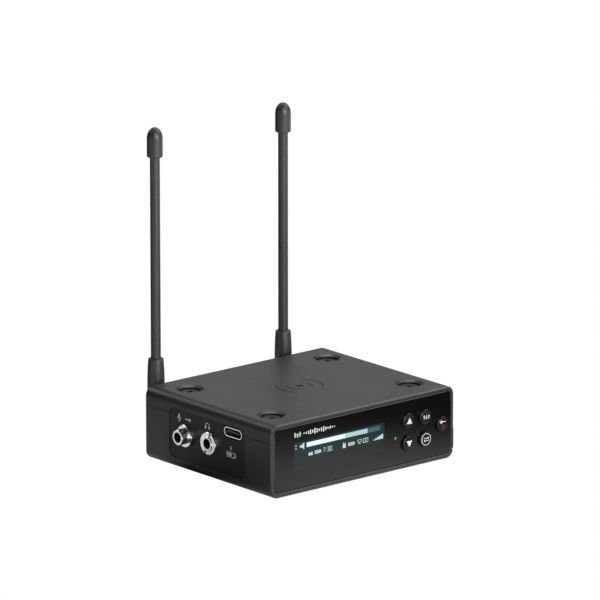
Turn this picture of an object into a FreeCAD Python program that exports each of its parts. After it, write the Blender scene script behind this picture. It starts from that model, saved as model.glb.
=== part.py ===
"""Compact wireless microphone receiver, as an assembly of separate parts.

Millimetres, +Z up. X runs to the right seen from the front, and the front faces -Y. The origin is the
middle of the pattern of the four feet, on the plane that they stand on. Every part is built with z
counted from the underside of the case, and save() lifts it by the height of the feet.
"""
import FreeCAD
import Part
import math
import os

V = FreeCAD.Vector
AXIS_X, AXIS_Y, AXIS_Z = V(1, 0, 0), V(0, 1, 0), V(0, 0, 1)

# ---- case ----
WIDTH, DEPTH, HEIGHT = 78.0, 63.8, 24.3
HALF_W, HALF_D = WIDTH / 2, DEPTH / 2
CASE_R = 2.9              # round along the four long edges
EDGE_BREAK = 0.4          # chamfer round the front and rear outlines
WALL = 1.5
FRONT_WALL = 2.4
SEAM_Z = 18.3             # top of the lower housing
SEAM_GAP = 0.15
FOOT_PROUD = 0.8
CORNER_X, CORNER_Y = 29.4, 20.7    # feet, recesses and cover screws share this pattern
FOOT_R, PEG_R, PEG_FIT, FOOT_SEAT = 3.3, 2.4, 0.1, 0.7

# ---- recesses in the top ----
DISH_R, DISH_FLOOR_R, DISH_CONE, DISH_DEPTH = 4.65, 3.6, 0.55, 0.9
DISC_R, DISC_THICK, DISC_DROP, DISC_HOLE_R = 3.4, 1.0, 0.15, 1.0
DISC_SEAT = HEIGHT - DISH_DEPTH - DISC_DROP - DISC_THICK
BOSS_R, BOSS_BOTTOM = 4.6, 20.2
SCREW_R, SCREW_HEAD_R, SCREW_HEAD, SCREW_TIP_Z = 1.0, 1.6, 1.0, 18.6
POST_R = 2.3
MARK_DEPTH, MARK_LINE, MARK_DOT, MARK_WAVES = 0.12, 0.35, 1.1, (4.4, 7.8)

# ---- front ----
LENS_SIDE, LENS_TOP, LENS_BOTTOM = 1.4, 1.35, 1.65   # insets of the window from the outline
LENS_R, LENS_RECESS, LENS_THICK = 2.0, 0.05, 1.15
LENS_GAP, LENS_BEVEL, LEDGE = 0.06, 0.15, 1.0
LENS_FACE_Y = -HALF_D + LENS_RECESS
LENS_BACK_Y = LENS_FACE_Y + LENS_THICK
DISPLAY = (-31.0, 11.0, 5.4, 19.2)  # x and z limits of the display module
DISPLAY_THICK = 1.4
FRAME_RIM = 1.6
BOARD_THICK = 1.0
FRONT_BOARD_Y = -27.5              # front face of the front board
BUTTONS = {
    "up_button": (18.85, 16.05),
    "set_button": (26.15, 16.05),
    "escape_button": (33.5, 12.3),
    "down_button": (18.8, 8.4),
    "sync_button": (26.15, 8.5),
}
BUTTON_R, BUTTON_PROUD, BUTTON_ROUND, BUTTON_FIT = 2.475, 1.15, 0.4, 0.2
FLANGE_R, FLANGE_THICK, STEM_R = 3.0, 0.5, 0.9
BUTTON_TRAVEL, STEM_GAP = 0.3, 0.1
SWITCH_HEIGHT = 1.0
LIGHT_X, LIGHT_ZS, LIGHT_R = 13.75, (10.85, 8.4), 0.5

# ---- connector side ----
PANEL_FRONT, PANEL_REAR, PANEL_LOW, PANEL_HIGH, PANEL_R = -18.8, 19.5, 3.65, 20.3, 2.6
PANEL_POCKET, PANEL_THICK, PANEL_GAP = 1.0, 0.85, 0.07
PANEL_FACE_X = -HALF_W + PANEL_POCKET - PANEL_THICK
JACK_Z, MIC_Y, PHONES_Y = 12.15, 11.1, -0.7
JACK_BORE_R, JACK_WELL_R, JACK_BACK_X, JACK_HALF = 1.78, 1.95, -36.9, 3.6
JACK_WELL = 9.5           # depth of the plug's well in the plastic body
MIC_RING_R, MIC_RING_THICK, MIC_BARREL_R, MIC_REACH = 3.75, 0.9, 2.6, 2.75
PHONES_NUT_R, PHONES_NUT_THICK, PHONES_BARREL_R, PHONES_REACH = 3.8, 0.8, 2.5, 0.3
USB_Y, USB_Z, USB_W, USB_H, USB_WALL = -12.3, 18.0, 8.94, 3.16, 0.3
USB_FACE_X, USB_LENGTH, USB_SLOT_RIM = -38.6, 8.1, 0.5

# ---- boards ----
MAIN_TOP = USB_Z - USB_H / 2
MAIN_BOARD = (-37.2, 5.5, -24.9, 28.8)    # x and y limits
BOARD_SCREWS = ((-34.5, 25.0), (-18.0, -22.3), (3.0, -22.3), (3.0, 25.0))
BOARD_POST_R = 2.0

# ---- batteries and their door ----
CELL_R, CELL_LENGTH, NUB_R, NUB_LENGTH = 7.25, 50.5, 2.75, 1.3
CELL_XS, CELL_Z, CELL_FRONT_Y = (14.9, 29.75), 9.75, -24.65
TRAY = (6.4, 37.3, -26.1, 27.3, 1.6, 18.3)
TRAY_WALL, TRAY_GAP = 0.7, 0.1
CONTACT_THICK, CONTACT_DOME = 0.4, 0.35
DOOR_IN_X, DOOR_TOP, DOOR_BACK_Y, DOOR_GAP = HALF_W - 1.32, 17.6, 29.6, 0.25
BAND_PROUD, BAND_TOP, BAND_GROOVE = 0.18, 9.8, 0.3
HINGE_R = (HALF_W + BAND_PROUD - DOOR_IN_X) / 2
HINGE_X, HINGE_Z = DOOR_IN_X + HINGE_R, 3.5
SILL_Z = 2.5
PIN_R, PIN_FIT = 0.35, 0.03
LUG_YS, LUG_HALF, LUG_GAP = (-23.0, 21.0), 2.0, 0.3

# ---- antennas ----
ANTENNA_X, ANTENNA_Y, SOCKET_Z = 27.3, 40.6, 12.0
SOCKET_R, SOCKET_FLANGE_R, SOCKET_WALL_R = 3.175, 4.0, 3.0
SOCKET_END, COUPLING_START, COUPLING_WEB, COUPLING_END = 35.7, 33.1, 36.7, 37.4
NECK_R, NECK_FIT, COLLAR_R = 2.0, 0.05, 2.8
FORK_HALF, FORK_GAP, FORK_R, TONGUE_R, TONGUE_HALF = 2.85, 1.75, 2.4, 2.0, 1.6
TILT_PIN_R, TILT_FIT, TILT_PIN_HALF = 0.8, 0.05, 2.8
BOOT_R, BOOT_TOP_R, BOOT_BOTTOM, BOOT_TOP, BOOT_TAPER = 2.88, 2.55, 14.8, 30.15, 9.0
BOOT_ROUND, BOOT_BORE_Z = 0.5, 20.0
ROD_R, ROD_TOP = 1.64, 103.5
TIP_R, TIP_BOTTOM, TIP_TOP, TIP_DOME, TIP_BREAK = 2.62, 97.9, 107.8, 3.7, 0.3
LEAD_R, LEAD_Y, LEAD_TURN = 0.565, 28.2, 3.0
FERRULE_R, FERRULE_LENGTH = 0.9, 2.4


# ---------------------------------------------------------------- helpers
def box(x0, x1, y0, y1, z0, z1):
    """Block between two corners."""
    return Part.makeBox(x1 - x0, y1 - y0, z1 - z0, V(x0, y0, z0))


def rounded(block, radius, axis):
    """Fillet the straight edges of a block that run along one axis."""
    edges = [e for e in block.Edges if abs(e.tangentAt(e.FirstParameter).dot(axis)) > 0.99]
    return block.makeFillet(radius, edges)


def bar_x(radius, x0, x1, y, z):
    """Round bar along X."""
    return Part.makeCylinder(radius, x1 - x0, V(x0, y, z), AXIS_X)


def bar_y(radius, y0, y1, x, z):
    """Round bar along Y."""
    return Part.makeCylinder(radius, y1 - y0, V(x, y0, z), AXIS_Y)


def bar_z(radius, z0, z1, x, y):
    """Round bar along Z."""
    return Part.makeCylinder(radius, z1 - z0, V(x, y, z0), AXIS_Z)


def fuse(first, *others):
    """One clean solid from several that touch or overlap."""
    return first.multiFuse(list(others)).removeSplitter()


def stadium(x0, x1, half_y, half_z, y, z):
    """Bar along X with a fully rounded flat section."""
    block = box(x0, x1, y - half_y, y + half_y, z - half_z, z + half_z)
    return rounded(block, half_z * 0.999, AXIS_X)


def hexagon(flats, y0, y1, x, z):
    """Hexagonal bar along Y, its corners rounded off by a cylinder."""
    corner = flats / math.sqrt(3)
    angles = [math.radians(60 * i) for i in range(7)]
    ring = [V(x + corner * math.cos(a), y0, z + corner * math.sin(a)) for a in angles]
    prism = Part.Face(Part.makePolygon(ring)).extrude(V(0, y1 - y0, 0))
    return prism.common(bar_y(corner * 0.96, y0, y1, x, z))


def turned(profile, axis_point, axis):
    """Solid of revolution from a closed list of edges."""
    face = Part.Face(Part.Wire(Part.__sortEdges__(profile)))
    return face.revolve(axis_point, axis, 360)


def lines(points):
    """Straight edges through the points."""
    return [Part.LineSegment(a, b).toShape() for a, b in zip(points, points[1:])]


def corners():
    """The four corner positions shared by feet, recesses and cover screws."""
    return [(sx * CORNER_X, sy * CORNER_Y) for sx in (-1, 1) for sy in (-1, 1)]


def save(name, *solids):
    """Write one node, lifted so that the feet stand on z = 0."""
    shape = solids[0] if len(solids) == 1 else Part.makeCompound(list(solids))
    shape.translate(V(0, 0, FOOT_PROUD))
    shape.exportStep(os.path.join("parts", name + ".step"))


# ---------------------------------------------------------------- case
def case_block(extra=0.0):
    """Outer form of the closed case, optionally wider on both sides."""
    block = box(-HALF_W - extra, HALF_W + extra, -HALF_D, HALF_D, 0, HEIGHT)
    block = rounded(block, CASE_R, AXIS_Y)
    outline = [e for e in block.Edges if e.BoundBox.YLength < 1e-6]
    return block.makeChamfer(EDGE_BREAK, outline)


def lens_block(grow, y0, y1, radius):
    """Block in the outline of the front window, larger or smaller by grow."""
    side, top, bottom = LENS_SIDE - grow, LENS_TOP - grow, LENS_BOTTOM - grow
    block = box(-HALF_W + side, HALF_W - side, y0, y1, bottom, HEIGHT - top)
    return rounded(block, radius, AXIS_Y)


def window_bevel():
    """Tool that bevels the front edge all round the window."""
    tool = lens_block(LENS_GAP + LENS_BEVEL, -HALF_D - 1, -HALF_D + LENS_BEVEL, LENS_R)
    inner = [e for e in tool.Edges if e.BoundBox.YMin > -HALF_D]
    return tool.makeChamfer(LENS_BEVEL * 0.99, inner)


def cavity(gap=0.0):
    """Space inside the closed case, smaller by a gap all round."""
    wall = WALL + gap
    block = box(-HALF_W + wall, HALF_W - wall, -HALF_D + FRONT_WALL + gap, HALF_D - wall,
                wall, HEIGHT - wall)
    return rounded(block, CASE_R - WALL, AXIS_Y)


def case_shell():
    """Hollow case with the front opening and its ledge."""
    pocket = lens_block(LENS_GAP, -HALF_D - 1, LENS_BACK_Y + 0.05, LENS_R)
    opening = lens_block(-LEDGE, -HALF_D, -HALF_D + FRONT_WALL + 1, LENS_R / 2)
    return case_block().cut(cavity()).cut(pocket).cut(opening).cut(window_bevel())


def panel_pocket():
    """Pocket for the connector panel and the holes behind it."""
    gap = PANEL_GAP
    plate = box(-HALF_W - 1, -HALF_W + PANEL_POCKET, PANEL_FRONT - gap, PANEL_REAR + gap,
                PANEL_LOW - gap, PANEL_HIGH + gap)
    plate = rounded(plate, PANEL_R, AXIS_X)
    x0, x1 = -HALF_W, -HALF_W + WALL + 0.5
    mic = bar_x(MIC_BARREL_R + 0.1, x0, x1, MIC_Y, JACK_Z)
    phones = bar_x(PHONES_BARREL_R + 0.1, x0, x1, PHONES_Y, JACK_Z)
    port = stadium(x0, x1, USB_W / 2 + 0.2, USB_H / 2 + 0.2, USB_Y, USB_Z)
    return fuse(plate, mic, phones, port)


def hinge_lug(y):
    """Lug on the sill that holds the battery door's pin."""
    barrel = bar_y(HINGE_R, y - LUG_HALF, y + LUG_HALF, HINGE_X, HINGE_Z)
    web = box(HINGE_X - 0.6, HINGE_X + 0.55, y - LUG_HALF, y + LUG_HALF, SILL_Z - 0.2, HINGE_Z)
    return fuse(barrel, web).cut(bar_y(PIN_R, y - LUG_HALF, y + LUG_HALF, HINGE_X, HINGE_Z))


def lower_housing():
    """Floor, sides, rear wall and most of the front frame."""
    below = box(-HALF_W - 1, HALF_W + 1, -HALF_D - 1, HALF_D + 1, -1, SEAM_Z)
    body = case_shell().common(below).cut(panel_pocket())
    body = body.cut(box(HALF_W - WALL - 0.2, HALF_W + 1, -HALF_D - 1, DOOR_BACK_Y + DOOR_GAP,
                        SILL_Z, DOOR_TOP + DOOR_GAP))
    ledge = box(HALF_W - LENS_SIDE - LEDGE, DOOR_IN_X - 0.1, LENS_BACK_Y + 0.05,
                -HALF_D + FRONT_WALL, SILL_Z - 0.5, DOOR_TOP + 0.5)
    posts = [bar_z(POST_R, WALL - 0.3, BOSS_BOTTOM, -CORNER_X, y) for y in (-CORNER_Y, CORNER_Y)]
    posts += [bar_z(BOARD_POST_R, WALL - 0.3, MAIN_TOP - BOARD_THICK, x, y) for x, y in BOARD_SCREWS]
    body = fuse(body, ledge, *posts, *[hinge_lug(y) for y in LUG_YS])
    for x, y in corners():
        body = body.cut(bar_z(PEG_R + PEG_FIT, -1, FOOT_SEAT, x, y))
    for y in (-CORNER_Y, CORNER_Y):
        body = body.cut(bar_z(SCREW_R, SCREW_TIP_Z - 3.5, BOSS_BOTTOM + 1, -CORNER_X, y))
    for x, y in BOARD_SCREWS:
        body = body.cut(bar_z(SCREW_R, MAIN_TOP - 6, MAIN_TOP, x, y))
    for x in (-ANTENNA_X, ANTENNA_X):
        body = body.cut(bar_y(SOCKET_WALL_R, HALF_D - WALL - 1, HALF_D + 1, x, SOCKET_Z))
    return body


def dish(x, y):
    """Recess in the top: a cone, then a short straight wall."""
    top = HEIGHT
    cone = Part.makeCone(DISH_FLOOR_R, DISH_R, DISH_CONE, V(x, y, top - DISH_CONE), AXIS_Z)
    wall = bar_z(DISH_FLOOR_R, top - DISH_DEPTH, top - DISH_CONE, x, y)
    above = bar_z(DISH_R, top, top + 1, x, y)
    return fuse(cone, wall, above)


def top_mark():
    """Shallow engraved broadcast symbol: a dot with two waves on each side."""
    depth = MARK_DEPTH + 0.5
    low = HEIGHT - MARK_DEPTH
    tools = [bar_z(MARK_DOT, low, low + depth, 0, 0)]
    for radius in MARK_WAVES:
        ring = bar_z(radius, low, low + depth, 0, 0)
        ring = ring.cut(bar_z(radius - MARK_LINE, low - 1, low + depth + 1, 0, 0))
        for side in (0, 180):
            wedge = Part.makeCylinder(radius + 1, depth, V(0, 0, low), AXIS_Z, 90)
            wedge.rotate(V(0, 0, 0), AXIS_Z, side - 45)
            tools.append(ring.common(wedge))
    return tools


def top_cover():
    """Upper shell with the four recesses and their screw bosses."""
    above = box(-HALF_W - 1, HALF_W + 1, -HALF_D - 1, HALF_D + 1, SEAM_Z + SEAM_GAP, HEIGHT + 1)
    body = case_shell().common(above).cut(panel_pocket())
    lip_out, lip_in = WALL + 0.06, WALL + 0.8
    lip_low, lip_high = SEAM_Z - 1.0, SEAM_Z + 2.0
    left_lip = box(-HALF_W + lip_out, -HALF_W + lip_in, PANEL_REAR + 0.6, HALF_D - 3.0, lip_low, lip_high)
    front_left_lip = box(-HALF_W + lip_out, -HALF_W + lip_in, -HALF_D + FRONT_WALL + 0.4,
                         PANEL_FRONT - 0.6, lip_low, lip_high)
    rear_lip = box(-HALF_W + 4, HALF_W - 4, HALF_D - lip_in, HALF_D - lip_out, lip_low, lip_high)
    roots = [box(-HALF_W + WALL - 0.2, -HALF_W + lip_in, lip.BoundBox.YMin, lip.BoundBox.YMax,
                 lip_high - 1.5, lip_high) for lip in (left_lip, front_left_lip)]
    roots.append(box(-HALF_W + 4, HALF_W - 4, HALF_D - lip_in, HALF_D - WALL + 0.2,
                     lip_high - 1.5, lip_high))
    bosses = [bar_z(BOSS_R, BOSS_BOTTOM, HEIGHT - WALL + 0.3, x, y) for x, y in corners()]
    body = fuse(body, left_lip, front_left_lip, rear_lip, *roots, *bosses)
    for x, y in corners():
        body = body.cut(dish(x, y)).cut(bar_z(DISC_R, DISC_SEAT, HEIGHT, x, y))
        body = body.cut(bar_z(SCREW_HEAD_R, DISC_SEAT - SCREW_HEAD, DISC_SEAT + 0.1, x, y))
        body = body.cut(bar_z(SCREW_R + 0.1, BOSS_BOTTOM - 1, DISC_SEAT, x, y))
    for tool in top_mark():
        body = body.cut(tool)
    return body


def torx(x, y, z, radius, depth):
    """Six-lobed drive recess, open upwards at z."""
    core = bar_z(radius * 0.72, z - depth, z + 0.1, x, y)
    lobes = [bar_z(radius * 0.24, z - depth, z + 0.1,
                   x + radius * 0.76 * math.cos(math.radians(60 * i)),
                   y + radius * 0.76 * math.sin(math.radians(60 * i))) for i in range(6)]
    return fuse(core, *lobes)


def screw(x, y, head_z, tip_z, head_r, head, drive_r):
    """Pan-head screw pointing down, with its head resting at head_z."""
    body = fuse(bar_z(head_r, head_z, head_z + head, x, y), bar_z(SCREW_R, tip_z, head_z, x, y))
    return body.cut(torx(x, y, head_z + head, drive_r, 0.6))


def cover_screws():
    """Four screws under the discs, driven through the hole in each disc."""
    return [screw(x, y, DISC_SEAT - SCREW_HEAD, SCREW_TIP_Z, SCREW_HEAD_R - 0.08, SCREW_HEAD - 0.1, 0.8)
            for x, y in corners()]


def stacking_discs():
    """Four steel discs that the magnets of a second unit grip."""
    top = DISC_SEAT + DISC_THICK
    discs = []
    for x, y in corners():
        disc = bar_z(DISC_R, top - DISC_THICK, top, x, y)
        rim = [e for e in disc.Edges if e.BoundBox.ZMin > top - 0.01]
        disc = disc.makeChamfer(0.12, rim)
        discs.append(disc.cut(bar_z(DISC_HOLE_R, top - 2, top + 1, x, y)))
    return discs


def rubber_feet():
    """Four round feet, each with a peg in the floor."""
    feet = []
    for x, y in corners():
        foot = fuse(bar_z(FOOT_R, -FOOT_PROUD, 0, x, y), bar_z(PEG_R, 0, FOOT_SEAT - 0.05, x, y))
        rim = [e for e in foot.Edges if e.BoundBox.ZMax < -FOOT_PROUD + 0.01]
        feet.append(foot.makeChamfer(0.15, rim))
    return feet


# ---------------------------------------------------------------- front
def front_lens():
    """Glossy window with holes for the caps and the two lights."""
    plate = lens_block(0, LENS_FACE_Y, LENS_BACK_Y, LENS_R)
    outline = [e for e in plate.Edges if e.BoundBox.YMax < LENS_FACE_Y + 0.01]
    plate = plate.makeChamfer(0.22, outline)
    for x, z in BUTTONS.values():
        plate = plate.cut(bar_y(BUTTON_R + BUTTON_FIT, -HALF_D, LENS_BACK_Y + 1, x, z))
    for z in LIGHT_ZS:
        plate = plate.cut(bar_y(LIGHT_R, -HALF_D, LENS_BACK_Y + 1, LIGHT_X, z))
    return plate


def display_panel():
    """Display module behind the window."""
    x0, x1, z0, z1 = DISPLAY
    y0 = LENS_BACK_Y + 0.05
    return box(x0, x1, y0, y0 + DISPLAY_THICK, z0, z1)


def display_frame():
    """Holder that presses the display against the window."""
    x0, x1, z0, z1 = DISPLAY
    y0, y1 = LENS_BACK_Y + 0.05, FRONT_BOARD_Y - 0.1
    outer = rounded(box(x0 - FRAME_RIM, x1 + FRAME_RIM, y0, y1, z0 - FRAME_RIM, z1 + 1.2), 1.0, AXIS_Y)
    seat = box(x0 - 0.05, x1 + 0.05, y0 - 1, y0 + DISPLAY_THICK + 0.02, z0 - 0.05, z1 + 0.05)
    window = box(x0 + 3, x1 - 3, y0, y1 + 1, z0 + 2, z1 - 2)
    return outer.cut(seat).cut(window)


def front_board():
    """Board that carries the display connector, switches and lights."""
    return box(-35.9, 35.9, FRONT_BOARD_Y, FRONT_BOARD_Y + BOARD_THICK, 3.0, 21.0)


def button_cap(x, z):
    """Domed cap with a retaining flange and a stem."""
    face = LENS_FACE_Y - BUTTON_PROUD
    flange_y = LENS_BACK_Y + 0.08
    stem_end = FRONT_BOARD_Y - SWITCH_HEIGHT - STEM_GAP - BUTTON_TRAVEL
    r, rnd = BUTTON_R, BUTTON_ROUND
    rim_y = face + 0.15
    start, rim = V(x, face, z), V(x + r - rnd, rim_y, z)
    mid_dome = V(x + (r - rnd) * 0.55, face + 0.05, z)
    side = V(x + r, rim_y + rnd, z)
    mid_rim = V(x + r - rnd * 0.3, rim_y + rnd * 0.3, z)
    profile = [Part.Arc(start, mid_dome, rim).toShape(), Part.Arc(rim, mid_rim, side).toShape()]
    profile += lines([side, V(x + r, flange_y, z), V(x + FLANGE_R, flange_y, z),
                      V(x + FLANGE_R, flange_y + FLANGE_THICK, z),
                      V(x + STEM_R, flange_y + FLANGE_THICK, z), V(x + STEM_R, stem_end, z),
                      V(x, stem_end, z), start])
    return turned(profile, V(x, 0, z), AXIS_Y)


def tact_switches():
    """One small switch under each cap."""
    switches = []
    y1 = FRONT_BOARD_Y
    for x, z in BUTTONS.values():
        body = box(x - 1.7, x + 1.7, y1 - 0.7, y1, z - 1.7, z + 1.7)
        switches.append(fuse(body, bar_y(0.8, y1 - SWITCH_HEIGHT, y1 - 0.7, x, z)))
    return switches


def light_pipes():
    """Clear pins that bring the two lights to the window's face."""
    return [fuse(bar_y(LIGHT_R, LENS_FACE_Y, LENS_BACK_Y + 0.05, LIGHT_X, z),
                 bar_y(LIGHT_R + 0.3, LENS_BACK_Y + 0.05, LENS_BACK_Y + 1.0, LIGHT_X, z))
            for z in LIGHT_ZS]


def status_leds():
    """Surface-mounted lights behind the light pipes."""
    y1 = FRONT_BOARD_Y
    return [box(LIGHT_X - 0.8, LIGHT_X + 0.8, y1 - 0.6, y1, z - 0.4, z + 0.4) for z in LIGHT_ZS]


# ---------------------------------------------------------------- connector side
def connector_panel():
    """Plate set into the left side, with the socket and port openings."""
    plate = box(PANEL_FACE_X, PANEL_FACE_X + PANEL_THICK, PANEL_FRONT, PANEL_REAR,
                PANEL_LOW, PANEL_HIGH)
    plate = rounded(plate, PANEL_R, AXIS_X)
    x0, x1 = -HALF_W - 1, -HALF_W + 3
    plate = plate.cut(bar_x(MIC_BARREL_R, x0, x1, MIC_Y, JACK_Z))
    plate = plate.cut(bar_x(PHONES_BARREL_R, x0, x1, PHONES_Y, JACK_Z))
    rim = USB_SLOT_RIM
    return plate.cut(stadium(x0, x1, USB_W / 2 + rim, USB_H / 2 + rim, USB_Y, USB_Z))


def jack_body(y):
    """Plastic body of a 3.5 mm socket, open along the plug's axis."""
    block = box(JACK_BACK_X, JACK_BACK_X + JACK_WELL + 1.9, y - JACK_HALF, y + JACK_HALF,
                JACK_Z - JACK_HALF, MAIN_TOP - BOARD_THICK)
    return block.cut(bar_x(JACK_WELL_R, JACK_BACK_X - 1, JACK_BACK_X + JACK_WELL, y, JACK_Z))


def jack_barrel(y, radius, face_x):
    """Metal barrel of a socket, with a shoulder behind the wall."""
    tube = bar_x(radius, face_x, JACK_BACK_X, y, JACK_Z)
    mouth = [e for e in tube.Edges if e.BoundBox.XMax < face_x + 0.01]
    tube = tube.makeChamfer(0.2, mouth)
    shoulder = bar_x(radius + 0.55, -HALF_W + WALL, JACK_BACK_X, y, JACK_Z)
    return fuse(tube, shoulder).cut(bar_x(JACK_BORE_R, face_x - 1, JACK_BACK_X + 1, y, JACK_Z))


def jack_ring(y, outer, inner, thick):
    """Flat ring or nut on a socket's barrel, against the panel."""
    ring = bar_x(outer, PANEL_FACE_X - thick, PANEL_FACE_X, y, JACK_Z)
    front = [e for e in ring.Edges if e.BoundBox.XMax < PANEL_FACE_X - thick + 0.01]
    ring = ring.makeChamfer(0.18, front)
    return ring.cut(bar_x(inner, PANEL_FACE_X - 3, PANEL_FACE_X + 1, y, JACK_Z))


def phones_nut():
    """Round nut with two driver slots on one diameter."""
    ring = jack_ring(PHONES_Y, PHONES_NUT_R, PHONES_BARREL_R, PHONES_NUT_THICK)
    slot = box(PANEL_FACE_X - 2, PANEL_FACE_X - 0.35, PHONES_Y - 0.5, PHONES_Y + 0.5,
               JACK_Z - 5, JACK_Z + 5)
    slot.rotate(V(0, PHONES_Y, JACK_Z), AXIS_X, 20)
    return ring.cut(slot)


def usb_shell():
    """Drawn metal shell of the charging port."""
    x1 = USB_FACE_X + USB_LENGTH
    outer = stadium(USB_FACE_X, x1, USB_W / 2, USB_H / 2, USB_Y, USB_Z)
    inner = stadium(USB_FACE_X - 1, x1 - 0.8, USB_W / 2 - USB_WALL, USB_H / 2 - USB_WALL, USB_Y, USB_Z)
    return outer.cut(inner)


def usb_tongue():
    """Contact tongue in the middle of the port."""
    return box(USB_FACE_X + 0.6, USB_FACE_X + USB_LENGTH - 0.8, USB_Y - 3.35, USB_Y + 3.35,
               USB_Z - 0.35, USB_Z + 0.35)


# ---------------------------------------------------------------- boards
def main_board():
    """Main board, with clearance for the left screw posts."""
    x0, x1, y0, y1 = MAIN_BOARD
    board = box(x0, x1, y0, y1, MAIN_TOP - BOARD_THICK, MAIN_TOP)
    for y in (-CORNER_Y, CORNER_Y):
        board = board.cut(bar_z(POST_R + 0.2, 0, HEIGHT, -CORNER_X, y))
    for x, y in BOARD_SCREWS:
        board = board.cut(bar_z(SCREW_R + 0.1, 0, HEIGHT, x, y))
    return board


def board_screws():
    """Four screws that hold the main board on its posts."""
    return [screw(x, y, MAIN_TOP, MAIN_TOP - 5.5, 1.8, 1.1, 0.9) for x, y in BOARD_SCREWS]


def board_connector():
    """Connector between the main board and the front board."""
    return box(-12, 0, FRONT_BOARD_Y + BOARD_THICK, -21.0, MAIN_TOP, MAIN_TOP + 2.2)


def rf_shield():
    """Pressed shield over the radio section."""
    can = rounded(box(-22, -2, 3, 24, MAIN_TOP, MAIN_TOP + 2.8), 0.8, AXIS_Z)
    return can.cut(box(-21.7, -2.3, 3.3, 23.7, MAIN_TOP - 1, MAIN_TOP + 2.5))


# ---------------------------------------------------------------- batteries and door
def battery_tray():
    """Box for two cells, open towards the door, with two screw bosses on its roof."""
    x0, x1, y0, y1, z0, z1 = TRAY
    t = TRAY_WALL
    tray = box(x0, x1, y0, y1, z0, z1).common(cavity(TRAY_GAP))
    tray = tray.cut(box(x0 + t, x1 + 1, y0 + t, y1 - t, z0 + t, z1 - t))
    bosses = [bar_z(POST_R, z1 - t, BOSS_BOTTOM, CORNER_X, y) for y in (-CORNER_Y, CORNER_Y)]
    tray = fuse(tray, *bosses)
    for y in (-CORNER_Y, CORNER_Y):
        tray = tray.cut(bar_z(SCREW_R, z1 - 1, BOSS_BOTTOM + 1, CORNER_X, y))
    return tray


def battery_cells():
    """Two round cells lying front to back, facing opposite ways."""
    cells = []
    for index, x in enumerate(CELL_XS):
        nub_first = index == 0
        y0 = CELL_FRONT_Y + (NUB_LENGTH if nub_first else 0)
        y1 = y0 + CELL_LENGTH - NUB_LENGTH
        can = bar_y(CELL_R, y0, y1, x, CELL_Z)
        can = can.makeFillet(0.6, [e for e in can.Edges if e.BoundBox.YLength < 1e-6])
        n0, n1 = (CELL_FRONT_Y, y0) if nub_first else (y1, y1 + NUB_LENGTH)
        cells.append(fuse(can, bar_y(NUB_R, n0, n1, x, CELL_Z)))
    return cells


def battery_contacts():
    """Domed contact plate at each end of each cell."""
    plates = []
    front, back = TRAY[2] + TRAY_WALL, TRAY[3] - TRAY_WALL
    for x in CELL_XS:
        for wall, way in ((front, 1), (back, -1)):
            face, dome = wall + way * CONTACT_THICK, wall + way * (CONTACT_THICK + CONTACT_DOME)
            plate = box(x - 4.5, x + 4.5, min(wall, face), max(wall, face), CELL_Z - 5, CELL_Z + 5)
            plates.append(fuse(plate, bar_y(2.4, min(wall, dome), max(wall, dome), x, CELL_Z)))
    return plates


def battery_door():
    """Side door with a proud grip band and knuckles along its lower edge."""
    y0, y1 = -HALF_D, DOOR_BACK_Y
    panel = box(DOOR_IN_X, HALF_W, y0, y1, BAND_TOP - 1, DOOR_TOP).common(case_block())
    grown = HALF_W + BAND_PROUD
    band = box(DOOR_IN_X, grown, y0, y1, HINGE_Z, BAND_TOP).common(case_block(BAND_PROUD))
    hem = bar_y(HINGE_R, y0 + EDGE_BREAK, y1, HINGE_X, HINGE_Z)
    nibs = [box(38.0, 38.6, y - 1.5, y + 1.5, DOOR_TOP - 0.2, DOOR_TOP + 0.12) for y in (-12, 12)]
    door = fuse(panel, band, hem, *nibs).cut(window_bevel())
    door = door.cut(box(HALF_W - 0.2, HALF_W + 1, y0 - 1, y1 + 1, BAND_TOP, BAND_TOP + BAND_GROOVE))
    for y in LUG_YS:
        half = LUG_HALF + LUG_GAP
        door = door.cut(box(DOOR_IN_X - 1, grown + 1, y - half, y + half, 0, HINGE_Z + 1.3))
    return door.cut(bar_y(PIN_R + PIN_FIT, LUG_YS[0] - 5, LUG_YS[1] + 5, HINGE_X, HINGE_Z))


def door_hinge_pin():
    """Straight pin through the lugs and the door's knuckles."""
    return bar_y(PIN_R, LUG_YS[0] - 4.5, LUG_YS[1] + 4.5, HINGE_X, HINGE_Z)


# ---------------------------------------------------------------- antennas
def antenna_socket(x):
    """Threaded socket through the rear wall, with a side ferrule for its lead."""
    z = SOCKET_Z
    inner_y = HALF_D - WALL - 1.2
    tail = bar_y(1.3, LEAD_Y - 0.6, inner_y, x, z)
    through = bar_y(SOCKET_WALL_R, inner_y, HALF_D, x, z)
    flange = bar_y(SOCKET_FLANGE_R, HALF_D, HALF_D + 1.0, x, z)
    barrel = bar_y(SOCKET_R, HALF_D + 1.0, SOCKET_END, x, z)
    inward = -math.copysign(FERRULE_LENGTH, x)
    ferrule = bar_x(FERRULE_R, min(x, x + inward), max(x, x + inward), LEAD_Y, z)
    body = fuse(tail, through, flange, barrel, ferrule)
    return body.cut(bar_y(2.1, SOCKET_END - 2, SOCKET_END + 1, x, z).cut(
        bar_y(0.6, SOCKET_END - 2, SOCKET_END - 0.4, x, z)))


def socket_nut(x):
    """Thin nut inside the rear wall."""
    nut = hexagon(8.0, HALF_D - WALL - 1.2, HALF_D - WALL, x, SOCKET_Z)
    return nut.cut(bar_y(SOCKET_WALL_R, 0, HALF_D, x, SOCKET_Z))


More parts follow.
